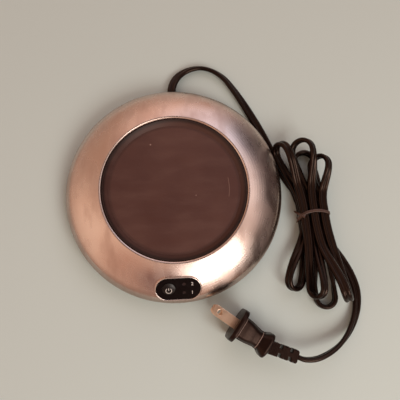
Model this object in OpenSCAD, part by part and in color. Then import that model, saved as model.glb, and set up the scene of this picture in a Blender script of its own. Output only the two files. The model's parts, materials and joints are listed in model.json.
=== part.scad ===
// Electric mug warmer: a round hot plate in a brushed steel cover, with a push
// button panel at the front and a flat two-wire mains lead tied in a hank.
// Millimetres. The origin is at the bottom centre of the feet, +Z is up,
// the panel faces -Y and the lead leaves at +Y.

/* [Cover] */
// Outer radius of the steel cover
body_r = 70; // [68:0.5:76]
// Height of the cover's inner rim above the surface
rim_h = 24.8; // [23:0.2:30]
// Thickness of the cover's sheet
sheet_t = 0.8; // [0.6:0.1:1.2]
// Radius of the rolled edge between crown and skirt
edge_r = 9.7; // [8:0.1:11]
// Slope of the crown at its inner rim, in degrees
slope_in = 16; // [12:1:20]
// Slope of the crown where it meets the rolled edge, in degrees
slope_out = 36; // [32:1:40]
// Height of the straight skirt below the rolled edge
skirt_h = 0.6; // [0.2:0.1:1]
// Radius of the rolled inner lip
lip_roll = 1.3; // [1:0.1:1.8]
// Number of weld studs, and of the screws that draw the base to them
stud_n = 4; // [3:1:4]
// Distance from the plate's carrier out to the studs' centres
stud_out = 6.1; // [5.8:0.1:7]
// Outer radius of a weld stud
stud_r = 2.6; // [2.2:0.1:3]

/* [Hot plate] */
// Outer radius of the hot plate's rim
plate_r = 44.7; // [42:0.1:46]
// Distance of the plate's rim below the cover's rim
plate_drop = 0.7; // [0.3:0.1:1.2]
// Depth of the dished floor below the plate's rim
recess_depth = 3; // [2:0.1:3.6]
// Width of the flat top of the plate's rim
plate_rim_w = 0.6; // [0.4:0.1:1]
// Width of the sloping step, seen from above
step_w = 3; // [2:0.1:4]
// Thickness of the plate's floor
plate_t = 1.2; // [1:0.1:1.6]
// Thickness of the plate's outer wall
plate_wall_t = 1.7; // [1.4:0.1:2.2]
// Height of the plate's outer wall from its rim down to its flange
plate_wall_h = 6.2; // [6:0.1:6.6]
// Width of the plate's flange outside its wall
flange_w = 2.3; // [2:0.1:2.6]
// Thickness of the plate's flange
flange_t = 1.2; // [1:0.1:1.6]
// Thickness of the silicone seal on the flange
seal_t = 0.6; // [0.4:0.1:0.8]
// Gap between the plate and the cover's lip
lip_gap = 0.3; // [0.2:0.05:0.5]

/* [Heater] */
// Radius of the wound mica heater
heater_r = 36; // [30:0.5:36.2]
// Thickness of the heater
heater_t = 0.8; // [0.6:0.1:1]
// Thickness of the fibre insulation under the heater
insulation_t = 1.8; // [1.4:0.1:2.2]
// Thickness of the steel disc that clamps the heater
clamp_t = 0.8; // [0.6:0.1:1.2]
// Edge gap between the clamp disc and the plate's wall
clamp_gap = 0.4; // [0.2:0.1:0.8]
// Number of clamp screws, and of the cast bosses that take them
clamp_n = 3; // [3:1:6]
// Distance of the heater's leads to each side of the middle
heater_lead_x = 10; // [8:0.5:12]
// Distance of the heater's leads in front of the middle
heater_lead_y = 20; // [18:0.5:22]
// Radius of a cast boss under the plate
boss_r = 2.9; // [2.5:0.1:3]
// Length of the thermal fuse's case
fuse_l = 11; // [9:0.5:14]
// Radius of the thermal fuse's case
fuse_r = 2; // [1.5:0.1:2.2]

/* [Base] */
// Height of the rubber feet that shows under the base
foot_h = 1.5; // [1.2:0.1:2.5]
// Radius of a rubber foot
foot_r = 5; // [4:0.5:6]
// Distance from a foot's edge to the base's edge
foot_edge = 6.6; // [5:0.2:8]
// Depth of the pocket that holds a foot
foot_pocket = 0.6; // [0.4:0.1:0.8]
// Thickness of the base's floor
floor_t = 1.8; // [1.6:0.1:2.2]
// Thickness of the base's wall
wall_t = 2; // [1.6:0.1:2.4]
// Gap between the base's wall and the cover's skirt
base_gap = 0.6; // [0.4:0.1:1]
// Height of the base's wall above its floor
wall_h = 6; // [5.4:0.1:6.2]
// Radius of the bevel round the bottom of the base
base_bevel = 1.2; // [0.6:0.1:1.4]
// Radius of a screw boss in the base
post_r = 4; // [3.6:0.1:4.4]

/* [Plate carrier] */
// Width of the carrier ring
carrier_w = 5; // [4.4:0.1:5.4]
// Height of the carrier ring
carrier_h = 6.5; // [5.6:0.1:7]
// Thickness of the carrier's lugs
lug_t = 3.2; // [2.6:0.1:3.6]

/* [Screws] */
// Radius of the main screws' shank
screw_r = 1.5; // [1.2:0.1:1.6]
// Radius of the main screws' head
screw_head_r = 2.8; // [2.6:0.1:3]
// Height of the main screws' head
screw_head_h = 1.7; // [1.4:0.1:2]
// Radius of the small screws' shank
small_r = 1.1; // [0.9:0.1:1.2]
// Radius of the small screws' head
small_head_r = 2; // [1.8:0.1:2.2]
// Height of the small screws' head
small_head_h = 1.2; // [1:0.1:1.5]
// Gap round a screw in a plain hole
screw_gap = 0.2; // [0.15:0.05:0.3]
// Gap round a screw in its thread
thread_gap = 0.05; // [0.02:0.01:0.08]

/* [Control panel] */
// Width of the panel
panel_w = 26.6; // [25:0.1:29]
// Height of the panel along the slope
panel_d = 14.2; // [13.6:0.1:14.6]
// Distance of the panel's middle inside the cover's outer radius
panel_in = 8.9; // [8.6:0.1:9.2]
// Thickness of the panel's face
panel_t = 2; // [1.8:0.1:2.2]
// Gap between the panel and the opening in the cover
panel_gap = 0.2; // [0.15:0.05:0.3]
// Distance of the panel's face below the cover's crown
panel_sink = 0.2; // [0:0.1:0.4]
// Width of the pressed collar round the panel
collar_w = 0.8; // [0.6:0.1:1.2]
// Height of the collar above the panel's face
collar_h = 0.3; // [0.2:0.1:0.5]
// How far the panel's inner flange reaches past the opening
panel_lip = 1.2; // [0.8:0.1:1.4]
// Thickness of the panel's inner flange
panel_lip_t = 1.2; // [1:0.1:1.4]
// Distance of the button's centre to the left of the panel's middle
button_x = 5.8; // [5.2:0.1:6.2]
// Radius of the button
button_r = 3.9; // [3.4:0.1:4]
// Gap round the button
button_gap = 0.3; // [0.25:0.05:0.4]
// Height of the button's crown above the panel's face
button_crown = 0.6; // [0.4:0.1:0.8]
// Height of the crown's straight edge above the panel's face
button_edge = 0.2; // [0.1:0.05:0.3]
// How far the button's flange reaches past its hole
button_lip = 0.7; // [0.5:0.1:0.8]
// Thickness of the button's flange
button_lip_t = 0.6; // [0.5:0.1:0.8]
// Travel of the button
travel = 0.4; // [0.3:0.05:0.5]
// Distance of the lights to the right of the panel's middle
light_x = 3.5; // [3:0.1:4.5]
// Distance between the two lights
light_pitch = 5.8; // [5:0.1:6.4]
// Radius of a light's window
light_r = 1; // [0.8:0.1:1.2]

/* [Circuit boards] */
// Thickness of the boards
board_t = 1.6; // [1.2:0.1:1.8]
// Width of the control board
control_board_w = 29; // [28:0.5:30]
// Height of the control board
control_board_d = 12.4; // [12:0.1:13]
// Side of the push switch's case
switch_w = 6; // [5.6:0.1:6.2]
// Height of the push switch's case
switch_h = 3.1; // [2.8:0.1:3.4]
// Radius of the switch's plunger
plunger_r = 1.7; // [1.5:0.05:1.8]
// Length of the plunger inside the case
plunger_l = 1.2; // [1:0.1:1.6]
// Radius of an indicator lamp
lamp_r = 1.5; // [1.2:0.1:1.5]
// Distance between the control board's screws
board_screw_pitch = 24.4; // [24:0.1:24.6]
// Width of the main board
main_board_w = 46; // [44:0.5:48]
// Depth of the main board
main_board_d = 32; // [30:0.5:34]
// Height of the main board's posts
main_post_h = 3; // [2.5:0.1:3.5]
// Length of the dropper capacitor
capacitor_l = 18; // [14:0.5:18]
// Width of the dropper capacitor
capacitor_w = 7; // [6:0.5:8]
// Height of the dropper capacitor
capacitor_h = 5.2; // [4.5:0.1:5.4]
// Side of the power switch's case
triac_w = 8; // [6:0.5:9]
// Height of the power switch's case
triac_h = 2.7; // [2:0.1:3.5]

/* [Mains lead] */
// Width of the flat two-wire cord
cord_w = 5.8;
// Thickness of the flat cord
cord_t = 2.9;
// Height of the cord above the base's floor where it leaves
cord_lift = 0.15; // [0.1:0.05:0.2]
// Gap round the cord in its bushing
cord_gap = 0.2; // [0.15:0.05:0.25]
// Length of the bushing
bushing_l = 5; // [4.5:0.1:5.5]
// How far the bushing stands out of the base
bushing_out = 1; // [0.5:0.1:1.2]
// Distance from the bushing to the middle of the cord clamp
clamp_back = 9.6; // [8:0.2:12]
// Depth of the cord clamp's strap
strap_d = 6; // [5.6:0.1:7]
// Radius of a heater or signal wire
wire_r = 0.7; // [0.5:0.05:0.8]

/* [Hank] */
// Distance between columns of cord at the tie
column_pitch = 6.7;
// Distance between layers of cord at the tie
layer_pitch = 3.5;
// Width of the tie
tie_w = 2; // [1.6:0.1:3]
// Thickness of the tie
tie_t = 0.8; // [0.6:0.1:1]

/* [Plug] */
// Width of a blade
blade_w = 6.35; // [6.1:0.05:6.6]
// Length of a blade outside the plug
blade_l = 16.4; // [15.9:0.1:18]
// Thickness of a blade
blade_t = 1.5; // [1.4:0.05:1.65]
// Distance between the blades
blade_pitch = 12.7; // [12.5:0.1:12.9]
// Radius of the hole near a blade's tip
blade_hole_r = 1.6; // [1.4:0.1:1.8]
// Distance of that hole from the tip
blade_hole_x = 4.4; // [4:0.1:5]
// Width of the plug's front flange
plug_flange_w = 20.6; // [18:0.2:22]
// Height of the plug's front flange
plug_flange_h = 25; // [24:0.2:26]
// Thickness of the plug's front flange
plug_flange_t = 3; // [2:0.1:4]
// Width of the plug's body behind the flange
plug_w = 12.4; // [11:0.1:13]
// Width of the plug's waist
plug_waist_w = 9.8; // [9:0.1:11]
// Width of the lip that the fingers pull on
plug_grip_w = 15.4; // [14:0.2:17]
// Length of the plug's body with its flange
plug_l = 24; // [23:0.5:26]
// Length of the ribbed strain relief
relief_l = 18.4; // [17:0.2:20]
// Width of the strain relief
relief_w = 7.8; // [7.4:0.1:8.4]
// Height of the strain relief
relief_h = 10; // [9:0.1:11]
// Number of ribs on the strain relief
relief_n = 5; // [3:1:6]
// Depth of the slots between the ribs
relief_cut = 1.3; // [1:0.1:1.4]

/* [Hidden] */
$fn = 96;

steel = "lightgray";
black = [0.12, 0.11, 0.11];
brown = [0.28, 0.2, 0.18];
copper = [0.85, 0.6, 0.45];

// Arcs of the cover's section: lip, crown and rolled edge, each tangent to the next
lip_r = plate_r + lip_gap;
lip_x = lip_r + lip_roll;
lip_z = rim_h - lip_roll;
crown_r = (body_r - lip_x - lip_roll * sin(slope_in) - edge_r * (1 - sin(slope_out)))
    / (sin(slope_out) - sin(slope_in));
crown_x = lip_x - (crown_r - lip_roll) * sin(slope_in);
crown_z = lip_z - (crown_r - lip_roll) * cos(slope_in);
edge_x = body_r - edge_r;
edge_z = crown_z + (crown_r - edge_r) * cos(slope_out);
skirt_z = edge_z - skirt_h;

// Levels of the hot plate and what hangs from it
plate_top = rim_h - plate_drop;
plate_floor = plate_top - recess_depth;
plate_under = plate_floor - plate_t;
flange_top = plate_top - plate_wall_h;
flange_under = flange_top - flange_t;
lip_bottom = flange_top + seal_t;
heater_under = plate_under - heater_t;
insulation_under = heater_under - insulation_t;
clamp_under = insulation_under - clamp_t;
plate_in_r = plate_r - plate_wall_t;
flange_r = plate_r + flange_w;
boss_ring_r = plate_in_r - boss_r - 0.3;
clamp_screw_l = clamp_t + insulation_t;

// Levels of the base and carrier
floor_top = foot_h + floor_t;
base_r = body_r - sheet_t - base_gap;
carrier_z = flange_under - carrier_h;
lug_top = carrier_z + lug_t;
carrier_in_r = flange_r - 3.6;
carrier_r = carrier_in_r + carrier_w;
stud_ring_r = carrier_r + stud_out;
foot_ring_r = base_r - foot_edge - foot_r;
head_z = foot_h + screw_head_h + 0.3;
screw_bite = 4;
wall_top = floor_top + wall_h;

// The panel lies on a plane that touches the crown
panel_ring_r = body_r - panel_in;
panel_tilt = asin((panel_ring_r - crown_x) / crown_r);
panel_z = crown_z + crown_r * cos(panel_tilt);
opening_w = panel_w + 2 * panel_gap;
opening_d = panel_d + 2 * panel_gap;
panel_under = -panel_t - panel_lip_t;
button_lip_top = panel_under - 0.3;
button_under = button_lip_top - button_lip_t;
case_top = button_under - travel - 0.4;
board_top = case_top - switch_h;
board_under = board_top - board_t;
screw_post_r = 1.8;
// The button's flange is cut flat beside the panel's left screw post
button_flat_x = board_screw_pitch / 2 - screw_post_r - button_x - 0.3;
lamp_top = panel_under - 0.9;

// The lead's way out
exit_y = base_r + bushing_out;
exit_z = floor_top + cord_lift + cord_t / 2;
core_x = (cord_w - cord_t) / 2;
bushing_in_y = exit_y - bushing_l;
bushing_w = cord_w + 3;
bushing_h = cord_t + 1.6;
bushing_gap = 0.1;
clamp_y = bushing_in_y - clamp_back;
clamp_post_r = 2.8;
clamp_post_x = cord_w / 2 + clamp_post_r + 1.9;
strap_t = 2.4;

// The main board's place, top face and screws
main_board_at = [0, 8];
main_top = floor_top + main_post_h + board_t;
main_screw_x = main_board_w / 2 - 3.5;
main_screw_y = main_board_d / 2 - 3.5;

// The panel's outward direction, and where the signal wires meet the control board
panel_way = [0, -sin(panel_tilt), cos(panel_tilt)];
signal_end = [0, -panel_ring_r, panel_z] + (board_under - panel_sink) * panel_way;

// The plug's face, the directions of its body and of its strain relief
plug_at = [33.8, -83.2, 12.6];
plug_turn = -37;
relief_turn = 15;
relief_way = [cos(plug_turn + relief_turn), sin(plug_turn + relief_turn), 0];
relief_end = plug_at + plug_l * [cos(plug_turn), sin(plug_turn), 0] + relief_l * relief_way;

// Outlines of the flat cord, as points across and through it
cord_six = [for (q = [[1, 0], [0.5, 1], [-0.5, 1], [-1, 0], [-0.5, -1], [0.5, -1]])
    [q.x * cord_w / 2, q.y * cord_t / 2]];
cord_eight = [for (q = [[1, 0.42], [0.62, 1], [-0.62, 1], [-1, 0.42],
    [-1, -0.42], [-0.62, -1], [0.62, -1], [1, -0.42]]) [q.x * cord_w / 2, q.y * cord_t / 2]];

// The hank lies beside the warmer. Its runs pass the tie in columns and layers and
// fan out to the folds. Each fold has its tip's place beside and along the hank, the
// height of its middle, a radius and a lean from its first run to its second, in
// degrees. Folds with an even number lie at the plug's end.
hank_at = [90.4, -16.6];
hank_turn = 3.74;
hank_low = 2.5;
straight = 4.5;
hank_end = 7;
waist_grid = [
    [-1, 0], [-1, 1], [-1, 2], [0, 1], [0, 2], [1, 2], [1, 1], [0, 0], [1, 0]
];
folds = [
    [-20.6, -48.2, 5.9, 6, 148], [-18.3, 48.9, 12.5, 7.2, 73], [-7.5, -54.6, 11.9, 5.6, 56],
    [-4, 49.4, 15.4, 7.2, 41], [11, -58, 15.7, 7.9, -66], [8.6, 38.3, 12.6, 6.6, 229],
    [0.3, -62.1, 3.4, 6.1, 183], [0.6, 44.4, 3.1, 6.9, 0]
];

// Place in the plan of a point beside (u) and along (v) the hank
function in_hank(u, v) = hank_at + u * [cos(hank_turn), sin(hank_turn)]
    + v * [-sin(hank_turn), cos(hank_turn)];
function laid(p, z, roll) = [p.x, p.y, z, roll];

// Route of the lead from the base to the hank: x, y, height, roll in degrees
lead_route = [
    [0, exit_y, exit_z, 0], [0, exit_y + 4, exit_z, 0], [1.2, 78.4, 4, 8],
    [3.6, 83, 3.2, 22], [7.8, 86.9, 2.9, 36], [14, 89.8, 2.8, 50], [21.5, 90.6, 2.9, 60],
    [29.5, 88.2, 2.9, 60], [36.8, 82.8, 2.8, 50], [43, 74.5, 2.6, 40], [48.8, 65, 2.3, 25],
    [54, 55.5, 1.9, 10], [58.8, 46.2, 1.6, 0], [62.8, 37.4, 1.6, 0], [66.6, 28.4, 1.6, 0],
    [70, 19.6, 1.6, 0], [73.6, 12, 1.6, 0], [77.2, 5.6, 1.8, 0], [80.4, 0.2, 2.2, 0],
    laid(in_hank(-column_pitch - 0.8, hank_end + 4), hank_low, 0),
    laid(in_hank(-column_pitch, hank_end + 1.4), hank_low, 0),
    laid(in_hank(-column_pitch, hank_end), hank_low, 0)
];

// Route of the tail from the hank to the plug: x, y, height, roll in degrees
tail_route = [
    laid(in_hank(column_pitch, -hank_end), hank_low, 0),
    laid(in_hank(column_pitch, -hank_end - 1.4), hank_low, 0),
    laid(in_hank(column_pitch + 0.3, -hank_end - 4), hank_low, 0), [100.2, -35, 2.2, 0],
    [104, -41, 1.9, 0], [108.6, -48.2, 1.6, 0], [112.8, -56.8, 1.6, 0],
    [115.4, -66.4, 1.6, 0], [115, -76, 2, 15], [111.8, -85.2, 3.1, 35],
    [106.2, -93.4, 5.2, 55], [98.8, -99.8, 8, 72], [90.4, -104.2, 10.4, 85],
    [82, -106.6, 12, 90], laid(relief_end + 5 * relief_way, relief_end.z, 90),
    laid(relief_end, relief_end.z, 90)
];

// ---- Cords -------------------------------------------------------------

function unit(v) = v / norm(v);
function ease(t) = let (c = min(max(t, 0), 1)) c * c * (3 - 2 * c);

// Direction of a route at one of its points
function heading(p, i) = let (n = len(p) - 1)
    unit(p[min(i + 1, n)] - p[max(i - 1, 0)]);

// One ring of a cord: centre c, heading h, side direction w and a 2D outline
function ring(c, h, w, outline) = let (
        side = unit(w - (w * h) * h),
        up = cross(h, side)
    ) [for (q = outline) c + q.x * side + q.y * up];

// A closed tube through rings that all have as many points
module skin(rings) {
    n = len(rings[0]);
    m = len(rings);
    points = [for (r = rings) for (p = r) p];
    sides = [for (i = [0 : m - 2]) for (j = [0 : n - 1]) let (
        a = i * n + j, b = i * n + (j + 1) % n, c = a + n, d = b + n
    ) each [[a, c, d], [a, d, b]]];
    first = [for (j = [1 : n - 2]) [0, j, j + 1]];
    last = [for (j = [1 : n - 2]) [(m - 1) * n, (m - 1) * n + j + 1, (m - 1) * n + j]];
    polyhedron(points = points, faces = concat(sides, first, last), convexity = 10);
}

// A flat cord along route points that hold a roll as their fourth number
module flat_cord(route) {
    p = [for (q = route) [q[0], q[1], q[2]]];
    skin([for (i = [0 : len(p) - 1]) let (
        h = heading(p, i),
        level = unit(cross(h, [0, 0, 1])),
        w = level * cos(route[i][3]) + cross(level, h) * sin(route[i][3])
    ) ring(p[i], h, w, cord_eight)]);
}

// A round wire along plain points
module wire(p, r) {
    skin([for (i = [0 : len(p) - 1]) let (h = heading(p, i))
        ring(p[i], h, cross(h, unit([0.3, 0.2, 1])), [for (a = [0 : 60 : 300]) r * [cos(a), sin(a)]])]);
}

// ---- Hank --------------------------------------------------------------

function waist(k) = [waist_grid[k][0] * column_pitch, 0, hank_low + waist_grid[k][1] * layer_pitch];
function fold_end(j) = j % 2 == 0 ? -1 : 1;
function fold_roll(j) = let (r = folds[j][4] - 90) r > 90 ? r - 180 : r < -90 ? r + 180 : r;

// A fold's own directions: outwards from the tie, to the right, and across its loop
function fold_way(j) = unit([folds[j][0] - (waist(j).x + waist(j + 1).x) / 4, folds[j][1], 0]);
function fold_right(j) = fold_end(j) * [fold_way(j).y, -fold_way(j).x, 0];
function fold_across(j) = cos(folds[j][4]) * fold_right(j) + [0, 0, sin(folds[j][4])];
function fold_middle(j) = [folds[j][0], folds[j][1], folds[j][2]]
    - (folds[j][3] + cord_t / 2) * fold_way(j);

// Cubic from a to b that leaves along u and arrives along v
function bend(a, u, b, v, t) = (2 * t ^ 3 - 3 * t ^ 2 + 1) * a + (t ^ 3 - 2 * t ^ 2 + t) * u
    + (3 * t ^ 2 - 2 * t ^ 3) * b + (t ^ 3 - t ^ 2) * v;

// Station on run k next to fold j, on the fold's first (-1) or second (1) side, as a
// point and a side direction; t goes from tie to fold
function station(k, j, side, t) = let (
        a = waist(k) + [0, fold_end(j) * straight, 0],
        b = fold_middle(j) + side * folds[j][3] * fold_across(j),
        far = norm([b.x - a.x, b.y - a.y]),
        p = bend(a, [0, fold_end(j) * far, 0], b, far * fold_way(j), t),
        level = unit([1, 0, 0] * (1 - t) + fold_right(j) * t),
        roll = fold_roll(j) * ease((t - roll_from) / (1 - roll_from))
    ) [
        [p.x, p.y, a.z + (b.z - a.z) * ease((t - rise_from) / (1 - rise_from))],
        cos(roll) * level + [0, 0, sin(roll)]
    ];

// Station on fold j's arc; f goes from its first run to its second
function arc_station(j, f) = [
    fold_middle(j) - folds[j][3] * (cos(180 * f) * fold_across(j) - sin(180 * f) * fold_way(j)),
    cos(fold_roll(j)) * fold_right(j) + [0, 0, sin(fold_roll(j))]
];

// Station on a run where it passes the tie, v along the hank
function tied_station(k, v) = [waist(k) + [0, v, 0], [1, 0, 0]];

rise_from = 0.3;
roll_from = 0.4;
run_steps = 6;
arc_steps = 8;
run_n = len(waist_grid);
stations = [for (k = [0 : run_n - 1]) each concat(
    k == 0 ? [tied_station(k, hank_end), tied_station(k, straight)]
        : [for (i = [run_steps - 1 : -1 : 0]) station(k, k - 1, 1, i / run_steps)],
    k == run_n - 1 ? [tied_station(k, -straight), tied_station(k, -hank_end)]
        : [for (i = [0 : run_steps - 1]) station(k, k, -1, i / run_steps)],
    k == run_n - 1 ? [] : [for (i = [0 : arc_steps]) arc_station(k, i / arc_steps)]
)];
hank_points = [for (q = stations) q[0]];
hank_sides = [for (q = stations) q[1]];

// Least gap between stretches of the hank, measured on its two conductors
function reach(i) = i == 0 ? 0 : reach(i - 1) + norm(hank_points[i] - hank_points[i - 1]);
function fine(i, f, s) = let (
        c = hank_points[i] * (1 - f) + hank_points[i + 1] * f,
        w = unit(hank_sides[i] * (1 - f) + hank_sides[i + 1] * f)
    ) c + s * (cord_w - cord_t) / 2 * w;
fine_n = 3;
cores = [for (i = [0 : len(hank_points) - 2]) [for (f = [0 : fine_n - 1]) for (s = [-1, 1])
    fine(i, f / fine_n, s)]];
reaches = [for (i = [0 : len(hank_points) - 2]) reach(i)];
apart = 25;
function segment_gap(i, j) = min([for (a = cores[i]) for (b = cores[j]) norm(a - b)]);
hank_gap = min([for (i = [0 : len(cores) - 1]) for (j = [i + 3 : 1 : len(cores) - 1])
    if (reaches[j] - reaches[i] > apart && norm(hank_points[i] - hank_points[j]) < 18)
        segment_gap(i, j)]) - cord_t;
echo(hank_gap = hank_gap, hank_length = reach(len(hank_points) - 1));

module at_hank() {
    translate([hank_at.x, hank_at.y, 0]) rotate([0, 0, hank_turn]) children();
}

module cord_lead() { color(black) flat_cord(lead_route); }
module cord_tail() { color(black) flat_cord(tail_route); }
module cord_hank() {
    color(black) at_hank() skin([for (i = [0 : len(hank_points) - 1])
        ring(hank_points[i], heading(hank_points, i), hank_sides[i], cord_six)]);
}

// The tie goes round all the runs at the hank's waist
module cord_tie() {
    inner_w = 2 * column_pitch + cord_w + 0.4;
    inner_h = 2 * layer_pitch + cord_t + 0.3;
    color([0.3, 0.2, 0.14]) at_hank()
        translate([0, tie_w / 2, hank_low + layer_pitch]) rotate([90, 0, 0])
            linear_extrude(tie_w) difference() {
                rounded(inner_w + 2 * tie_t, inner_h + 2 * tie_t, 2 + tie_t);
                rounded(inner_w, inner_h, 2);
            }
}

// ---- Shared shapes -----------------------------------------------------

// A rectangle with round corners, made of true arcs
module rounded(w, h, r) {
    square([w - 2 * r, h], center = true);
    square([w, h - 2 * r], center = true);
    for (x = [-1, 1], y = [-1, 1])
        translate([x * (w / 2 - r), y * (h / 2 - r)]) circle(r);
}

// A slot shape with fully round ends
module racetrack(w, h) {
    square([w - h, h], center = true);
    for (x = [-1, 1]) translate([x * (w - h) / 2, 0]) circle(h / 2);
}

module round_about(n, r, start = 45) {
    for (i = [0 : n - 1]) rotate([0, 0, start + i * 360 / n]) translate([r, 0, 0]) children();
}

// The panel's own plane: x to the right, y up the slope, z outwards
module on_panel() {
    translate([0, -panel_ring_r, panel_z]) rotate([panel_tilt, 0, 0])
        translate([0, 0, -panel_sink]) children();
}

// A screw with a pan head whose top is at the origin, shank towards +Z
module screw(r, head_r, head_h, length) {
    difference() {
        translate([0, 0, -head_h]) cylinder(r = head_r, h = head_h);
        for (a = [0, 90]) translate([0, 0, -head_h]) rotate([0, 0, a])
            cube([head_r * 1.1, head_r * 0.28, head_h], center = true);
    }
    cylinder(r = r, h = length);
}

// ---- Cover -------------------------------------------------------------

function arc(x, z, r, from, to, n) = [for (i = [0 : n]) let (a = from + (to - from) * i / n)
    [x + r * cos(a), z + r * sin(a)]];

// The cover's section from lip to skirt, moved inwards by d
function cover_line(d) = concat(
    [[lip_r + d, lip_bottom]],
    arc(lip_x, lip_z, lip_roll - d, 180, 90 - slope_in, 6),
    arc(crown_x, crown_z, crown_r - d, 89 - slope_in, 91 - slope_out, 11),
    arc(edge_x, edge_z, edge_r - d, 90 - slope_out, 0, 8),
    [[body_r - d, skirt_z]]
);

function reverse(p) = [for (i = [len(p) - 1 : -1 : 0]) p[i]];

module top_cover() {
    color(steel) difference() {
        union() {
            rotate_extrude() polygon(concat(cover_line(0), reverse(cover_line(sheet_t))));
            // Pressed collar round the panel, down to the panel's flange
            on_panel() translate([0, 0, -panel_t]) linear_extrude(panel_t + collar_h)
                racetrack(opening_w + 2 * collar_w, opening_d + 2 * collar_w);
            // Weld studs
            intersection() {
                round_about(stud_n, stud_ring_r) translate([0, 0, lug_top])
                    cylinder(r = stud_r, h = rim_h - lug_top);
                rotate_extrude() polygon(concat([[lip_x + 2, lug_top - 1]],
                    [for (q = cover_line(sheet_t / 2)) if (q.x > lip_x + 2 && q.x < edge_x) q],
                    [[edge_x, lug_top - 1]]));
            }
        }
        on_panel() translate([0, 0, -7]) linear_extrude(14) racetrack(opening_w, opening_d);
        round_about(stud_n, stud_ring_r) translate([0, 0, lug_top - 1])
            cylinder(r = screw_r + thread_gap, h = screw_bite + 1.5);
        // Notch in the skirt over the lead's bushing
        translate([-bushing_w / 2 - bushing_gap, bushing_in_y, skirt_z - 2])
            cube([bushing_w + 2 * bushing_gap, 2 * bushing_l,
                exit_z + bushing_h / 2 + bushing_gap - skirt_z + 2]);
    }
}

// ---- Hot plate ---------------------------------------------------------

module warming_plate() {
    step_x = plate_r - plate_rim_w;
    color(brown) difference() {
        union() {
            rotate_extrude() polygon([
                [0, plate_floor], [step_x - step_w, plate_floor], [step_x, plate_top],
                [plate_r, plate_top], [plate_r, flange_top], [flange_r, flange_top],
                [flange_r, flange_under], [plate_in_r, flange_under],
                [plate_in_r, plate_under], [0, plate_under]
            ]);
            round_about(clamp_n, boss_ring_r, 90) translate([0, 0, insulation_under])
                cylinder(r = boss_r, h = plate_under - insulation_under + 0.2);
        }
        round_about(clamp_n, boss_ring_r, 90) translate([0, 0, insulation_under - 1])
            cylinder(r = small_r + thread_gap, h = clamp_screw_l + 0.6);
    }
}

module plate_seal() {
    color("dimgray") translate([0, 0, flange_top]) difference() {
        cylinder(r = flange_r, h = seal_t);
        translate([0, 0, -1]) cylinder(r = plate_r + lip_gap, h = seal_t + 2);
    }
}

// The carrier ring bears the plate's flange on lugs that sit on the base's posts
module plate_carrier() {
    color([0.2, 0.2, 0.2]) difference() {
        union() {
            translate([0, 0, carrier_z]) cylinder(r = carrier_r, h = carrier_h);
            round_about(stud_n, 0) translate([0, 0, carrier_z]) {
                translate([carrier_in_r + 2, -post_r, 0])
                    cube([stud_ring_r - carrier_in_r - 2, 2 * post_r, lug_t]);
                translate([stud_ring_r, 0, 0]) cylinder(r = post_r, h = lug_t);
            }
        }
        translate([0, 0, carrier_z - 1]) cylinder(r = carrier_in_r, h = carrier_h + 2);
        round_about(stud_n, stud_ring_r) translate([0, 0, carrier_z - 1])
            cylinder(r = screw_r + screw_gap, h = lug_t + 2);
    }
}

// ---- Heater ------------------------------------------------------------

module heater_disc() {
    color("burlywood") translate([0, 0, heater_under]) cylinder(r = heater_r, h = heater_t);
}

module heater_insulation() {
    color("ivory") translate([0, 0, insulation_under]) cylinder(r = heater_r, h = insulation_t);
}

module heater_clamp() {
    color("silver") translate([0, 0, clamp_under]) difference() {
        cylinder(r = plate_in_r - clamp_gap, h = clamp_t);
        round_about(clamp_n, boss_ring_r, 90) translate([0, 0, -1])
            cylinder(r = small_r + screw_gap, h = clamp_t + 2);
        for (x = [-1, 1]) translate([x * heater_lead_x, -heater_lead_y, -1])
            cylinder(r = 2, h = clamp_t + 2);
    }
}

module clamp_screws() {
    color("gray") round_about(clamp_n, boss_ring_r, 90) translate([0, 0, clamp_under])
        screw(small_r, small_head_r, small_head_h, clamp_screw_l - 0.6);
}

// The fuse lies under the clamp disc in a saddle
module thermal_fuse() {
    z = clamp_under - fuse_r - 0.3;
    color("tan") translate([-16, 4, 0]) {
        translate([0, fuse_l / 2, z]) rotate([90, 0, 0]) cylinder(r = fuse_r, h = fuse_l);
        translate([-fuse_r, -1.5, z]) cube([2 * fuse_r, 3, clamp_under - z]);
    }
}

module temperature_sensor() {
    color("black") translate([0, -6, clamp_under - 2.4]) {
        cylinder(r = 3.2, h = 2.4);
        translate([-5, -1.6, 1.4]) cube([10, 3.2, 1]);
    }
}

// Two wires go up from the main board to the heater through the clamp's holes
module heater_leads() {
    color("white") for (x = [-1, 1])
        translate([x * heater_lead_x, 0, main_top]) wire([
            [0, 2, 0], [0, 2, 1.4], [0, 0.6, 2.6], [0, -4, 3],
            [0, 8 - heater_lead_y, 3.2], [0, 2 - heater_lead_y, 4],
            [0, -heater_lead_y, 5.8], [0, -heater_lead_y, insulation_under - main_top]
        ], wire_r);
}

// ---- Base --------------------------------------------------------------

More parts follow.
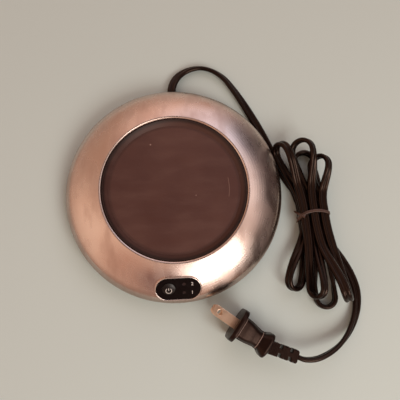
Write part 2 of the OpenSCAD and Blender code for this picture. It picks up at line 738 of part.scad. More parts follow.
module base_pan() {
    color(black) difference() {
        union() {
            rotate_extrude() polygon([
                [0, foot_h], [base_r - base_bevel, foot_h], [base_r, foot_h + base_bevel],
                [base_r, wall_top], [base_r - wall_t, wall_top],
                [base_r - wall_t, floor_top], [0, floor_top]
            ]);
            round_about(stud_n, stud_ring_r) translate([0, 0, foot_h])
                cylinder(r = post_r, h = carrier_z - foot_h);
            for (x = [-1, 1], y = [-1, 1])
                translate([main_board_at.x + x * main_screw_x, main_board_at.y + y * main_screw_y, foot_h])
                    cylinder(r = 2.6, h = floor_t + main_post_h);
            for (x = [-1, 1]) translate([x * clamp_post_x, clamp_y, foot_h])
                cylinder(r = clamp_post_r, h = exit_z + cord_t / 2 - foot_h);
        }
        round_about(stud_n, stud_ring_r) {
            translate([0, 0, foot_h - 1]) cylinder(r = screw_r + screw_gap, h = carrier_z - foot_h + 2);
            translate([0, 0, foot_h - 1]) cylinder(r = screw_head_r + screw_gap, h = head_z - foot_h + 1);
        }
        round_about(4, foot_ring_r, 0) translate([0, 0, foot_h - 1])
            cylinder(r = foot_r + 0.1, h = foot_pocket + 1);
        for (x = [-1, 1], y = [-1, 1])
            translate([main_board_at.x + x * main_screw_x, main_board_at.y + y * main_screw_y,
                floor_top - 0.6])
                cylinder(r = small_r + thread_gap, h = main_post_h + 2);
        for (x = [-1, 1]) translate([x * clamp_post_x, clamp_y, floor_top - 0.6])
            cylinder(r = small_r + thread_gap, h = cord_t + 2);
        // Slot for the bushing, open at the top of the wall and let into the floor
        translate([-bushing_w / 2 - bushing_gap, bushing_in_y - bushing_gap, exit_z - bushing_h / 2])
            cube([bushing_w + 2 * bushing_gap, bushing_l + 2, wall_h + 5]);
    }
}

module base_screws() {
    color("gray") round_about(stud_n, stud_ring_r) translate([0, 0, head_z])
        screw(screw_r, screw_head_r, screw_head_h, lug_top + screw_bite - head_z);
}

module rubber_feet() {
    color([0.2, 0.2, 0.2]) round_about(4, foot_ring_r, 0)
        cylinder(r = foot_r, h = foot_h + foot_pocket);
}

// ---- Control panel -----------------------------------------------------

module light_places() {
    for (y = [-1, 1]) translate([light_x, y * light_pitch / 2, 0]) children();
}

module board_screw_places() {
    for (x = [-1, 1]) translate([x * board_screw_pitch / 2, 0, 0]) children();
}

module control_panel() {
    color([0.05, 0.05, 0.05]) on_panel() difference() {
        union() {
            translate([0, 0, -panel_t]) linear_extrude(panel_t) racetrack(panel_w, panel_d);
            translate([0, 0, panel_under]) linear_extrude(panel_lip_t)
                racetrack(panel_w + 2 * panel_lip, panel_d + 2 * panel_lip);
            board_screw_places() translate([0, 0, board_top])
                cylinder(r = screw_post_r, h = panel_under - board_top + 0.5);
        }
        translate([-button_x, 0, panel_under - 1])
            cylinder(r = button_r + button_gap, h = 2 - panel_under);
        light_places() translate([0, 0, panel_under - 1])
            cylinder(r = light_r, h = 2 - panel_under);
        board_screw_places() translate([0, 0, board_top - 1])
            cylinder(r = small_r + thread_gap, h = panel_under - board_top + 2.4);
    }
}

// The cap has a low crown, straight sides and a flange that keeps it in its hole
module power_button() {
    rise = button_crown - button_edge;
    sphere_r = (button_r * button_r + rise * rise) / (2 * rise);
    color([0.08, 0.08, 0.08]) on_panel() translate([-button_x, 0, 0]) {
        intersection() {
            translate([0, 0, button_lip_top]) cylinder(r = button_r, h = button_crown - button_lip_top);
            translate([0, 0, button_crown - sphere_r]) sphere(r = sphere_r);
        }
        intersection() {
            flange = button_r + button_gap + button_lip;
            translate([0, 0, button_under]) cylinder(r = flange, h = button_lip_t);
            translate([-button_flat_x, -flange, button_under - 1])
                cube([button_flat_x + flange, 2 * flange, button_lip_t + 2]);
        }
    }
}

module switch_plunger() {
    color("white") on_panel() translate([-button_x, 0, case_top - plunger_l])
        cylinder(r = plunger_r, h = button_under - case_top + plunger_l);
}

module switch_case() {
    color("silver") on_panel() translate([-button_x, 0, 0]) difference() {
        translate([-switch_w / 2, -switch_w / 2, board_top]) cube([switch_w, switch_w, switch_h]);
        translate([0, 0, case_top - plunger_l - travel - 0.3])
            cylinder(r = plunger_r + 0.3, h = plunger_l + travel + 2);
    }
}

module light_pipes() {
    color("white") on_panel() light_places() {
        translate([0, 0, panel_under]) cylinder(r = light_r, h = panel_t + panel_lip_t - 0.1);
        translate([0, 0, panel_under - 0.5]) cylinder(r = light_r + 0.4, h = 0.5);
    }
}

module indicator_lamps() {
    color("red") on_panel() light_places() translate([0, 0, board_top])
        cylinder(r = lamp_r, h = lamp_top - board_top);
}

module control_board() {
    color("darkgreen") on_panel() difference() {
        translate([-control_board_w / 2, -control_board_d / 2, board_under])
            cube([control_board_w, control_board_d, board_t]);
        board_screw_places() translate([0, 0, board_under - 1])
            cylinder(r = small_r + screw_gap, h = board_t + 2);
    }
}

module board_screws() {
    color("gray") on_panel() board_screw_places() translate([0, 0, board_under])
        screw(small_r, small_head_r, small_head_h, board_t + 3.4);
}

// Four signal wires from the main board to the control board
module signal_leads() {
    start_y = main_board_at.y - main_board_d / 2 + 4;
    color("gray") for (i = [-1.5 : 1.5])
        translate([i * 2, 0, 0]) wire([
            [0, start_y, main_top], [0, start_y, main_top + 1.2],
            [0, start_y - 1.2, main_top + 2.4], [0, start_y - 5, main_top + 2.6],
            [0, start_y - 14, main_top + 1.4], [0, signal_end.y + 16, main_top - 1.6],
            [0, signal_end.y + 6, signal_end.z - 4], [0, signal_end.y + 2.8, signal_end.z - 3.2],
            signal_end - 1.9 * panel_way, signal_end
        ], 0.5);
}

// ---- Main board --------------------------------------------------------

module at_main_board() {
    translate([main_board_at.x, main_board_at.y, floor_top + main_post_h]) children();
}

module main_board() {
    color("darkgreen") at_main_board() difference() {
        translate([-main_board_w / 2, -main_board_d / 2, 0]) cube([main_board_w, main_board_d, board_t]);
        for (x = [-1, 1], y = [-1, 1]) translate([x * main_screw_x, y * main_screw_y, -1])
            cylinder(r = small_r + screw_gap, h = board_t + 2);
    }
}

module main_board_screws() {
    color("gray") at_main_board() for (x = [-1, 1], y = [-1, 1])
        translate([x * main_screw_x, y * main_screw_y, board_t]) rotate([180, 0, 0])
            screw(small_r, small_head_r, small_head_h, board_t + main_post_h);
}

module dropper_capacitor() {
    color("goldenrod") at_main_board() translate([-capacitor_l / 2, 4, board_t])
        cube([capacitor_l, capacitor_w, capacitor_h]);
}

module triac() {
    color("black") at_main_board() translate([2.5 - main_board_w / 2, -6, board_t])
        cube([triac_w, triac_w, triac_h]);
}

// ---- Way of the lead into the base -------------------------------------

module cord_bushing() {
    color(black) translate([0, exit_y, exit_z]) rotate([90, 0, 0]) difference() {
        linear_extrude(bushing_l) rounded(bushing_w, bushing_h, 1.4);
        translate([0, 0, -1]) linear_extrude(bushing_l + 2)
            racetrack(cord_w + 2 * cord_gap, cord_t + 2 * cord_gap);
    }
}

module cord_clamp() {
    top = exit_z + cord_t / 2;
    color("black") translate([0, clamp_y, top]) difference() {
        linear_extrude(strap_t) rounded(2 * clamp_post_x + strap_d, strap_d, 2);
        for (x = [-1, 1]) translate([x * clamp_post_x, 0, -1])
            cylinder(r = small_r + screw_gap, h = strap_t + 2);
    }
}

module cord_clamp_screws() {
    color("gray") for (x = [-1, 1])
        translate([x * clamp_post_x, clamp_y, exit_z + cord_t / 2 + strap_t]) rotate([180, 0, 0])
            screw(small_r, small_head_r, small_head_h, strap_t + cord_t);
}

// Inside the base the cord is torn into its two cores
module mains_leads() {
    board_y = main_board_at.y + main_board_d / 2;
    color(black) for (x = [-1, 1])
        wire([
            [x * core_x, exit_y, exit_z], [x * core_x, bushing_in_y - 1, exit_z],
            [x * core_x, clamp_y - 5, exit_z], [x * (core_x + 1), clamp_y - 14, exit_z + 0.6],
            [x * (core_x + 4), board_y + 11, main_top - 1],
            [x * (core_x + 6), board_y + 4, main_top + 1.8],
            [x * (core_x + 6), board_y - 1.5, main_top + 3],
            [x * (core_x + 6), board_y - 3, main_top + 1.6],
            [x * (core_x + 6), board_y - 3, main_top]
        ], cord_t / 2 - 0.05);
}

// ---- Plug --------------------------------------------------------------

// The plug's own place: x from its face towards the cord, blades one above the other
module at_plug() {
    translate(plug_at) rotate([0, 0, plug_turn]) children();
}

// Upright section of the plug's body at x, with round corners
module plug_slice(x, w, h, r) {
    translate([x, 0, 0]) rotate([90, 0, 90]) linear_extrude(0.1) rounded(w, h, r);
}

module plug_body() {
    color(black) at_plug() {
        rotate([90, 0, 90]) linear_extrude(plug_flange_t) rounded(plug_flange_w, plug_flange_h, 4);
        hull() {
            plug_slice(plug_flange_t, plug_w, plug_flange_h - 3, 3, $fn = 32);
            plug_slice(plug_flange_t + 7, plug_w, plug_flange_h - 4, 3, $fn = 32);
            plug_slice(plug_l - 8, plug_waist_w, 15, 3, $fn = 32);
        }
        hull() {
            plug_slice(plug_l - 8, plug_waist_w, 15, 3, $fn = 32);
            plug_slice(plug_l - 2, plug_grip_w, 18, 4, $fn = 32);
        }
        hull() {
            plug_slice(plug_l - 2, plug_grip_w, 18, 4, $fn = 32);
            plug_slice(plug_l - 0.1, plug_grip_w - 4, 15, 4, $fn = 32);
        }
    }
}

module plug_strain_relief() {
    pitch = relief_l / (2 * relief_n + 1);
    back = 1.2;
    color(black) at_plug() difference() {
        translate([plug_l, 0, 0]) rotate([0, 0, relief_turn]) difference() {
            translate([-back, 0, 0]) rotate([90, 0, 90])
                linear_extrude(back + relief_l) rounded(relief_w, relief_h, 2);
            // Slots from each side in turn
            for (i = [0 : relief_n - 1], s = [-1, 1])
                translate([pitch * (2 * i + 1.25 + s / 2), s * relief_w / 2, 0])
                    cube([pitch, 2 * relief_cut, relief_h + 1], center = true);
        }
        // Its root ends flat on the plug's body
        translate([plug_l - 10, -relief_w, -relief_h]) cube([10, 2 * relief_w, 2 * relief_h]);
    }
}

module plug_blades() {
    color(copper) at_plug() for (z = [-1, 1]) translate([0, 0, z * blade_pitch / 2]) difference() {
        translate([-blade_l, -blade_w / 2, -blade_t / 2]) cube([blade_l, blade_w, blade_t]);
        translate([-blade_l + blade_hole_x, 0, -blade_t]) cylinder(r = blade_hole_r, h = 2 * blade_t);
    }
}

top_cover();
warming_plate();
plate_seal();
plate_carrier();
heater_disc();
heater_insulation();
heater_clamp();
clamp_screws();
thermal_fuse();
temperature_sensor();
heater_leads();
base_pan();
base_screws();
rubber_feet();
control_panel();
power_button();
switch_plunger();
switch_case();
light_pipes();
indicator_lamps();
control_board();
board_screws();
signal_leads();
main_board();
main_board_screws();
dropper_capacitor();
triac();
cord_bushing();
cord_clamp();
cord_clamp_screws();
mains_leads();
cord_lead();
cord_hank();
cord_tail();
cord_tie();
plug_body();
plug_strain_relief();
plug_blades();
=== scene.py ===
"""Looks of an electric mug warmer with its flat cord in a tied hank.

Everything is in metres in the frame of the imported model: +Z up, the panel
towards -Y, the cord outlet towards +Y and the hank on the +X side. Sizes in
capitals are millimetres, as in the part's source.
"""

import json
from math import cos, pi, radians, sin, sqrt, tau

import bpy
from mathutils import Matrix, Vector


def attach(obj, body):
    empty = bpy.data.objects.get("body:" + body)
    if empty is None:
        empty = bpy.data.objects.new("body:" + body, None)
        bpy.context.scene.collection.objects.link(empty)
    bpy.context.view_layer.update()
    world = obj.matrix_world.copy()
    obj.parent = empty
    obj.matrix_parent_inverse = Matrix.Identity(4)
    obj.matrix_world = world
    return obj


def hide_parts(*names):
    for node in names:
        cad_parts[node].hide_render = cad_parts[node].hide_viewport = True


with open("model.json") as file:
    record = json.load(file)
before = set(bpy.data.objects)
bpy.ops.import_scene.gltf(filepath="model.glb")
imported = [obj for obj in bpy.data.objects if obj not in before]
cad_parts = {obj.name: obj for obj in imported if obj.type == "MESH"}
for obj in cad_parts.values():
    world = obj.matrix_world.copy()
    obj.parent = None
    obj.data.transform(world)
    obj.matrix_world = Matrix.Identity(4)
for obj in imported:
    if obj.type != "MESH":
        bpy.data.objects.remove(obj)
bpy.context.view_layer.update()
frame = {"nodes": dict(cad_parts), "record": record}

MM = 0.001
UP = Vector((0, 0, 1))

# ---- Camera -------------------------------------------------------------
# Nearly straight above the front of the plate, tipped towards the panel.

camera = bpy.data.objects.new("camera", bpy.data.cameras.new("camera"))
bpy.context.collection.objects.link(camera)
camera.location = Vector((0.22, -56.91, 276.54)) * MM
camera.rotation_euler = (
    Matrix.Rotation(radians(-2.0), 3, "Z")
    @ Matrix.Rotation(radians(11.0), 3, "X")
    @ Matrix.Rotation(radians(-2.93), 3, "Y")
).to_euler()
camera.data.sensor_width = 36
camera.data.lens = 37.8
camera.data.clip_start = 0.01
camera.data.clip_end = 10
bpy.context.scene.camera = camera

# ---- Route of the cord --------------------------------------------------
# The same stations as in the part's source, in millimetres.

CORD_W, CORD_T = 5.8, 2.9
COLUMN_PITCH, LAYER_PITCH = 6.7, 3.5
HANK_AT, HANK_TURN, HANK_LOW = Vector((90.4, -16.6, 0)), radians(3.74), 2.5
STRAIGHT, HANK_END = 4.5, 7
RISE_FROM, ROLL_FROM = 0.3, 0.4
WAIST = [(-1, 0), (-1, 1), (-1, 2), (0, 1), (0, 2), (1, 2), (1, 1), (0, 0), (1, 0)]
# Each fold: its tip beside and along the hank, height, radius, lean in degrees
FOLDS = [
    (-20.6, -48.2, 5.9, 6, 148), (-18.3, 48.9, 12.5, 7.2, 73), (-7.5, -54.6, 11.9, 5.6, 56),
    (-4, 49.4, 15.4, 7.2, 41), (11, -58, 15.7, 7.9, -66), (8.6, 38.3, 12.6, 6.6, 229),
    (0.3, -62.1, 3.4, 6.1, 183), (0.6, 44.4, 3.1, 6.9, 0),
]
EXIT = Vector((0, 69.6, 4.9))
PLUG_AT, PLUG_TURN, RELIEF_TURN = Vector((33.8, -83.2, 12.6)), radians(-37), radians(15)
PLUG_L, RELIEF_L = 24, 18.4


def along(angle):
    """Unit vector in the plan at an angle from +X."""
    return Vector((cos(angle), sin(angle), 0))


RELIEF_WAY = along(PLUG_TURN + RELIEF_TURN)
RELIEF_END = PLUG_AT + PLUG_L * along(PLUG_TURN) + RELIEF_L * RELIEF_WAY
HANK_U, HANK_V = along(HANK_TURN), along(HANK_TURN + pi / 2)


def ease(t):
    t = min(max(t, 0), 1)
    return t * t * (3 - 2 * t)


def turned(way):
    """A direction given beside, along and above the hank."""
    return way.x * HANK_U + way.y * HANK_V + way.z * UP


def in_hank(u, v, z):
    """Point beside (u) and along (v) the hank, at height z."""
    return HANK_AT + turned(Vector((u, v, z)))


def waist(run):
    column, layer = WAIST[run]
    return Vector((column * COLUMN_PITCH, 0, HANK_LOW + layer * LAYER_PITCH))


def fold_end(fold):
    return -1 if fold % 2 == 0 else 1


def fold_roll(fold):
    lean = FOLDS[fold][4] - 90
    return radians(lean - 180 if lean > 90 else lean + 180 if lean < -90 else lean)


def fold_frame(fold):
    """Middle of a fold's loop, with its ways outwards, to the right and across."""
    u, v, z, radius, lean = FOLDS[fold]
    way = Vector((u - (waist(fold).x + waist(fold + 1).x) / 4, v, 0)).normalized()
    right = fold_end(fold) * Vector((way.y, -way.x, 0))
    across = cos(radians(lean)) * right + sin(radians(lean)) * UP
    return Vector((u, v, z)) - (radius + CORD_T / 2) * way, way, right, across


def bend(a, u, b, v, t):
    """Cubic from a to b that leaves along u and arrives along v."""
    return ((2 * t ** 3 - 3 * t ** 2 + 1) * a + (t ** 3 - 2 * t ** 2 + t) * u
            + (3 * t ** 2 - 2 * t ** 3) * b + (t ** 3 - t ** 2) * v)


def run_station(run, fold, side, t):
    """Point and side direction on a run: t goes from the tie to the fold's foot."""
    middle, way, right, across = fold_frame(fold)
    end = fold_end(fold)
    a = waist(run) + Vector((0, end * STRAIGHT, 0))
    b = middle + side * FOLDS[fold][3] * across
    far = (b - a).xy.length
    p = bend(a, Vector((0, end * far, 0)), b, far * way, t)
    p.z = a.z + (b.z - a.z) * ease((t - RISE_FROM) / (1 - RISE_FROM))
    level = (Vector((1, 0, 0)) * (1 - t) + right * t).normalized()
    roll = fold_roll(fold) * ease((t - ROLL_FROM) / (1 - ROLL_FROM))
    return p, cos(roll) * level + sin(roll) * UP


def arc_station(fold, f):
    """Point and side direction on a fold: f goes from its first run to its second."""
    middle, way, right, across = fold_frame(fold)
    roll = fold_roll(fold)
    p = middle - FOLDS[fold][3] * (cos(pi * f) * across - sin(pi * f) * way)
    return p, cos(roll) * right + sin(roll) * UP


def tied_station(run, v):
    return waist(run) + Vector((0, v, 0)), Vector((1, 0, 0))


def hank_line(run_steps=18, arc_steps=18):
    """Points and side directions of the whole hank."""
    stations = []
    last = len(WAIST) - 1
    for run in range(last + 1):
        if run == 0:
            stations += [tied_station(run, HANK_END), tied_station(run, STRAIGHT)]
        else:
            stations += [run_station(run, run - 1, 1, i / run_steps)
                         for i in range(run_steps - 1, -1, -1)]
        if run == last:
            stations += [tied_station(run, -STRAIGHT), tied_station(run, -HANK_END)]
        else:
            stations += [run_station(run, run, -1, i / run_steps) for i in range(run_steps)]
            stations += [arc_station(run, i / arc_steps) for i in range(arc_steps + 1)]
    return [(HANK_AT + turned(p), turned(side)) for p, side in stations]


def hank_stop(u, v):
    return (*in_hank(u, v, HANK_LOW), 0)


# Each stop of the lead and the tail: x, y, height, roll in degrees
LEAD = [
    (*EXIT, 0), (0, EXIT.y + 4, EXIT.z, 0), (1.2, 78.4, 4, 8),
    (3.6, 83, 3.2, 22), (7.8, 86.9, 2.9, 36), (14, 89.8, 2.8, 50), (21.5, 90.6, 2.9, 60),
    (29.5, 88.2, 2.9, 60), (36.8, 82.8, 2.8, 50), (43, 74.5, 2.6, 40), (48.8, 65, 2.3, 25),
    (54, 55.5, 1.9, 10), (58.8, 46.2, 1.6, 0), (62.8, 37.4, 1.6, 0), (66.6, 28.4, 1.6, 0),
    (70, 19.6, 1.6, 0), (73.6, 12, 1.6, 0), (77.2, 5.6, 1.8, 0), (80.4, 0.2, 2.2, 0),
    hank_stop(-COLUMN_PITCH - 0.8, HANK_END + 4), hank_stop(-COLUMN_PITCH, HANK_END + 1.4),
    hank_stop(-COLUMN_PITCH, HANK_END),
]
TAIL = [
    hank_stop(COLUMN_PITCH, -HANK_END), hank_stop(COLUMN_PITCH, -HANK_END - 1.4),
    hank_stop(COLUMN_PITCH + 0.3, -HANK_END - 4), (100.2, -35, 2.2, 0),
    (104, -41, 1.9, 0), (108.6, -48.2, 1.6, 0), (112.8, -56.8, 1.6, 0),
    (115.4, -66.4, 1.6, 0), (115, -76, 2, 15), (111.8, -85.2, 3.1, 35),
    (106.2, -93.4, 5.2, 55), (98.8, -99.8, 8, 72), (90.4, -104.2, 10.4, 85),
    (82, -106.6, 12, 90), (*(RELIEF_END + 5 * RELIEF_WAY), 90), (*RELIEF_END, 90),
]


def route_line(route, steps=6):
    """Points and side directions on a smooth curve through a route's stops."""
    knots = [Vector(q) for q in route]
    knots = [2 * knots[0] - knots[1], *knots, 2 * knots[-1] - knots[-2]]
    fine = []
    for a, b, c, d in zip(knots, knots[1:], knots[2:], knots[3:]):
        # Knots spaced by the root of their distance keep the curve free of loops
        gaps = [max(sqrt((q.xyz - p.xyz).length), 1e-3) for p, q in ((a, b), (b, c), (c, d))]
        out = gaps[1] * ((b - a) / gaps[0] - (c - a) / (gaps[0] + gaps[1]) + (c - b) / gaps[1])
        into = gaps[1] * ((c - b) / gaps[1] - (d - b) / (gaps[1] + gaps[2]) + (d - c) / gaps[2])
        count = steps if gaps[1] > 1.5 else 2
        fine += [bend(b, out, c, into, i / count) for i in range(count)]
    fine.append(knots[-2])
    line = []
    for i, q in enumerate(fine):
        ahead = fine[min(i + 1, len(fine) - 1)].xyz - fine[max(i - 1, 0)].xyz
        level = ahead.cross(UP).normalized()
        roll = radians(q.w)
        line.append((q.xyz, level * cos(roll) + level.cross(ahead).normalized() * sin(roll)))
    return line


# ---- Mesh helpers -------------------------------------------------------


def piece_from(name, points, faces, uv=None, smooth=True):
    """A mesh object from points in millimetres."""
    mesh = bpy.data.meshes.new(name)
    mesh.from_pydata([Vector(p) * MM for p in points], [], faces)
    if uv:
        layer = mesh.uv_layers.new(name="UVMap")
        for loop, at in zip(layer.data, uv):
            loop.uv = at
    if smooth:
        mesh.shade_smooth()
    thing = bpy.data.objects.new(name, mesh)
    bpy.context.collection.objects.link(thing)
    return thing


def skin(rings, closed=False):
    """Faces over rings with as many points each, capped unless they close on each other."""
    n, m = len(rings[0]), len(rings)
    faces = []
    for i in range(m if closed else m - 1):
        for j in range(n):
            a, b = i * n, (i + 1) % m * n
            k = (j + 1) % n
            faces.append((a + j, a + k, b + k, b + j))
    if not closed:
        faces.append(tuple(range(n - 1, -1, -1)))
        faces.append(tuple((m - 1) * n + j for j in range(n)))
    return faces


def tube(name, line, outline):
    """A closed tube through (point, side) stations, with its length and girth as UV in metres."""
    rings, lengths = [], [0.0]
    side = line[0][1]
    for i, (p, w) in enumerate(line):
        ahead = (line[min(i + 1, len(line) - 1)][0] - line[max(i - 1, 0)][0]).normalized()
        w = -w if w.dot(side) < 0 else w
        side = (w - w.dot(ahead) * ahead).normalized()
        over = ahead.cross(side)
        rings.append([p + x * side + y * over for x, y in outline])
        if i:
            lengths.append(lengths[-1] + (p - line[i - 1][0]).length)
    n = len(outline)
    uv = []
    for i in range(len(rings) - 1):
        v0, v1 = lengths[i] * MM, lengths[i + 1] * MM
        for j in range(n):
            g0, g1 = j / n, (j + 1) / n
            uv += [(v0, g0), (v0, g1), (v1, g1), (v1, g0)]
    uv += [(0, 0)] * (2 * n)
    return piece_from(name, [p for r in rings for p in r], skin(rings), uv)


def plain_mesh(thing):
    """Turns a curve, a text or an object with modifiers into a plain mesh object."""
    graph = bpy.context.evaluated_depsgraph_get()
    mesh = bpy.data.meshes.new_from_object(thing.evaluated_get(graph))
    made = bpy.data.objects.new(thing.name, mesh)
    bpy.data.objects.remove(thing)
    bpy.context.collection.objects.link(made)
    made.name = mesh.name = made.name.split(".")[0]
    return made


def dress(thing, body, slot, *nodes):
    """Makes a piece ride on a body in a slot's finish, in place of any named nodes."""
    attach(thing, body)
    if nodes:
        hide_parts(*nodes)
    dressed.append((thing, slot))


dressed = []

# ---- Cord ---------------------------------------------------------------
# Two round cores side by side under one PVC skin, with a groove between.

LOBE = CORD_T / 2
GROOVE = 0.52
cord_outline = []
for way in (0, pi):
    for step in range(-7, 8):
        a = radians(step * 19.5)
        x, y = LOBE + LOBE * cos(a), LOBE * sin(a)
        cord_outline.append((x * cos(way) - y * sin(way), x * sin(way) + y * cos(way)))
    cord_outline.append((0, (GROOVE if way == 0 else -GROOVE) * LOBE))

cord_line = route_line(LEAD)[:-1] + hank_line() + route_line(TAIL)[1:]
mains_cord = tube("mains_cord", cord_line, cord_outline)
dress(mains_cord, "warmer", "cord_black", "cord_lead", "cord_hank", "cord_tail")

# ---- Tie ----------------------------------------------------------------
# A strap drawn round the hank. Its upper side bows up along the hank and its
# two ends are twisted together at the left.

TIE_W, TIE_T = 1.9, 0.7
TIE_HALF_U, TIE_HALF_Z = 10.15, 5.35
TIE_MIDDLE_Z = HANK_LOW + LAYER_PITCH
TIE_BOW, TIE_DIP = 2.6, 1.4


def strap(name, path, wide, thick):
    """A flat strap through (point, wide direction) stations."""
    corners = [(x * wide / 2, y * thick / 2) for x, y in (
        (1, 0.6), (0.8, 1), (-0.8, 1), (-1, 0.6), (-1, -0.6), (-0.8, -1), (0.8, -1), (1, -0.6))]
    return tube(name, path, corners)


def tie_station(t):
    """Point and wide direction of the strap, t going once round from the left."""
    a = tau * t + pi
    power = 0.34
    u = TIE_HALF_U * (abs(cos(a)) ** power) * (1 if cos(a) > 0 else -1)
    z = TIE_HALF_Z * (abs(sin(a)) ** power) * (1 if sin(a) > 0 else -1)
    top = ease((z / TIE_HALF_Z + 1) / 2)
    v = TIE_BOW * (1 - (u / TIE_HALF_U) ** 2) * top - TIE_DIP
    return in_hank(u, v, TIE_MIDDLE_Z + z), HANK_V


tie_band = strap("tie_band", [tie_station(i / 96) for i in range(97)], TIE_W, TIE_T)
dress(tie_band, "warmer", "tie_brown", "cord_tie")


def tie_tail(name, stops, twist):
    """A free end of the strap, turning on itself by a twist in degrees."""
    points = [Vector(q) for q in stops]
    path = []
    for i in range(25):
        t = i / 24
        a, b, c = points
        p = (1 - t) ** 2 * a + 2 * t * (1 - t) * b + t * t * c
        turn = radians(twist * t)
        path.append((in_hank(*p), HANK_V * cos(turn) + UP * sin(turn)))
    return strap(name, path, TIE_W * 0.9, TIE_T * 0.8)


TIE_TOP = TIE_MIDDLE_Z + TIE_HALF_Z
tie_ends = [
    tie_tail("tie_end_front", [
        (-6.5, -0.5, TIE_TOP + 0.4), (-10.4, -1.2, TIE_TOP + 0.2), (-11.6, -4.6, 7)], 70),
    tie_tail("tie_end_back", [
        (-7.2, -2.4, TIE_TOP + 0.3), (-10.8, -0.6, TIE_TOP + 0.3), (-12.2, 2.6, 7.4)], -60),
]
for tie_end in tie_ends:
    dress(tie_end, "warmer", "tie_brown")

# ---- Plug ---------------------------------------------------------------

PLUG_TURNED = Matrix.Translation(PLUG_AT) @ Matrix.Rotation(PLUG_TURN, 4, "Z")
RELIEF_PLACED = (
    PLUG_TURNED @ Matrix.Translation((PLUG_L, 0, 0)) @ Matrix.Rotation(RELIEF_TURN, 4, "Z")
)
CORNER_STEPS = 8


def rounded_ring(x, wide, high, radius, crown=0.0):
    """Points round an upright rectangle with round corners and sides that swell by crown."""
    ring = []
    for quarter in range(4):
        sy, sz = ((1, 1), (-1, 1), (-1, -1), (1, -1))[quarter]
        for i in range(CORNER_STEPS + 1):
            a = (quarter + i / CORNER_STEPS) * pi / 2
            y = sy * (wide / 2 - radius) + radius * cos(a)
            z = sz * (high / 2 - radius) + radius * sin(a)
            ring.append((x, y + crown * cos(a) * (1 - (2 * z / high) ** 2), z))
    return ring


def loft(name, sections, place):
    """A smooth closed body through upright sections, put in place."""
    rings = [[place @ Vector(p) for p in rounded_ring(*s)] for s in sections]
    return piece_from(name, [p for r in rings for p in r], skin(rings))


FLANGE_W, FLANGE_H, FLANGE_T = 20.6, 25, 3
flange = loft("plug_flange", [
    (0, FLANGE_W - 1, FLANGE_H - 1, 5.5), (0.1, FLANGE_W - 0.4, FLANGE_H - 0.4, 5.8),
    (0.4, FLANGE_W, FLANGE_H, 6), (FLANGE_T - 0.4, FLANGE_W, FLANGE_H, 6),
    (FLANGE_T - 0.1, FLANGE_W - 0.4, FLANGE_H - 0.4, 5.8),
    (FLANGE_T, FLANGE_W - 1, FLANGE_H - 1, 5.5),
], PLUG_TURNED)
# Each section of the body: distance from the face, width, height, corner, swell
BODY = [
    (2.6, 12.9, 22.6, 2.2, 0.5), (3.6, 12.3, 22, 2.2, 0.5), (6, 12.2, 21.7, 2.3, 0.5),
    (9, 11.6, 20.4, 2.4, 0.5), (12, 10.6, 18, 2.6, 0.4), (14.5, 9.9, 15.8, 2.8, 0.3),
    (16.4, 9.8, 15, 2.9, 0.2), (18, 10.8, 15.4, 3, 0.2), (19.6, 12.9, 16.4, 3.4, 0.2),
    (21, 14.6, 17.4, 3.8, 0.2), (22, 15.4, 18, 4, 0.2), (23.1, 15, 17.6, 4, 0.1),
    (23.9, 12.6, 15.6, 4, 0.1),
]
body = loft("plug_grip", BODY, PLUG_TURNED)
dress(body, "warmer", "plug_black", "plug_body")
dress(flange, "warmer", "plug_black")


def hoop(name, x, section, wide, place, proud=0.18):
    """A fine raised line round the plug at one of its sections."""
    _, w, h, r, crown = section
    rings = []
    for shift, rise in ((-wide / 2, -0.15), (-wide / 4, proud), (wide / 4, proud), (wide / 2, -0.15)):
        rings.append([place @ Vector(p) for p in
                      rounded_ring(x + shift, w + 2 * rise, h + 2 * rise, r + rise, crown)])
    return piece_from(name, [p for ring in rings for p in ring], skin(rings))


hoops = [
    hoop("plug_line_front", 3.5, BODY[1], 0.5, PLUG_TURNED),
    hoop("plug_line_waist", 16.4, BODY[6], 0.55, PLUG_TURNED),
]
for line_piece in hoops:
    dress(line_piece, "warmer", "plug_black")


SEAM_W, SEAM_T, SEAM_LIFT = 1.1, 0.7, 3.6


def plug_seam(name, side, lift):
    """A rib along one side of the body, where the two halves of its mould met."""
    path = []
    for x, w, h, r, crown in BODY[1:8]:
        p = PLUG_TURNED @ Vector((x, side * (w / 2 + crown + 0.05), lift))
        path.append((p, UP))
    return strap(name, path, SEAM_W, SEAM_T)


for side, hand in ((-1, "right"), (1, "left")):
    for lift, level in ((-SEAM_LIFT, "down"), (SEAM_LIFT, "up")):
        dress(plug_seam(f"plug_rib_{hand}_{level}", side, lift), "warmer", "plug_black")

RELIEF_W, RELIEF_H, RELIEF_EDGE = 7.8, 7, 0.22
# Slots cut from both sides: distance from the root, width, depth
SLOTS = [(6.2, 1.8, 2.5), (9.8, 0.6, 0.7), (12.7, 1.8, 2.5), (16.1, 0.6, 0.7)]


def flat_outline(name, loops, thick, edge):
    """A plate of millimetre outlines, the later ones holes, with rounded edges."""
    curve = bpy.data.curves.new(name, "CURVE")
    curve.dimensions = "2D"
    curve.fill_mode = "BOTH"
    curve.extrude = (thick / 2 - edge) * MM
    curve.bevel_depth = edge * MM
    curve.bevel_resolution = 2
    curve.offset = -edge * MM
    for loop in loops:
        spline = curve.splines.new("POLY")
        spline.points.add(len(loop) - 1)
        for point, (x, y) in zip(spline.points, loop):
            point.co = (x * MM, y * MM, 0, 1)
        spline.use_cyclic_u = True
    thing = bpy.data.objects.new(name, curve)
    bpy.context.collection.objects.link(thing)
    return plain_mesh(thing)


def in_metres(place):
    """The same placing for a mesh that is already in metres."""
    return Matrix.Translation(place.translation * MM) @ place.to_quaternion().to_matrix().to_4x4()


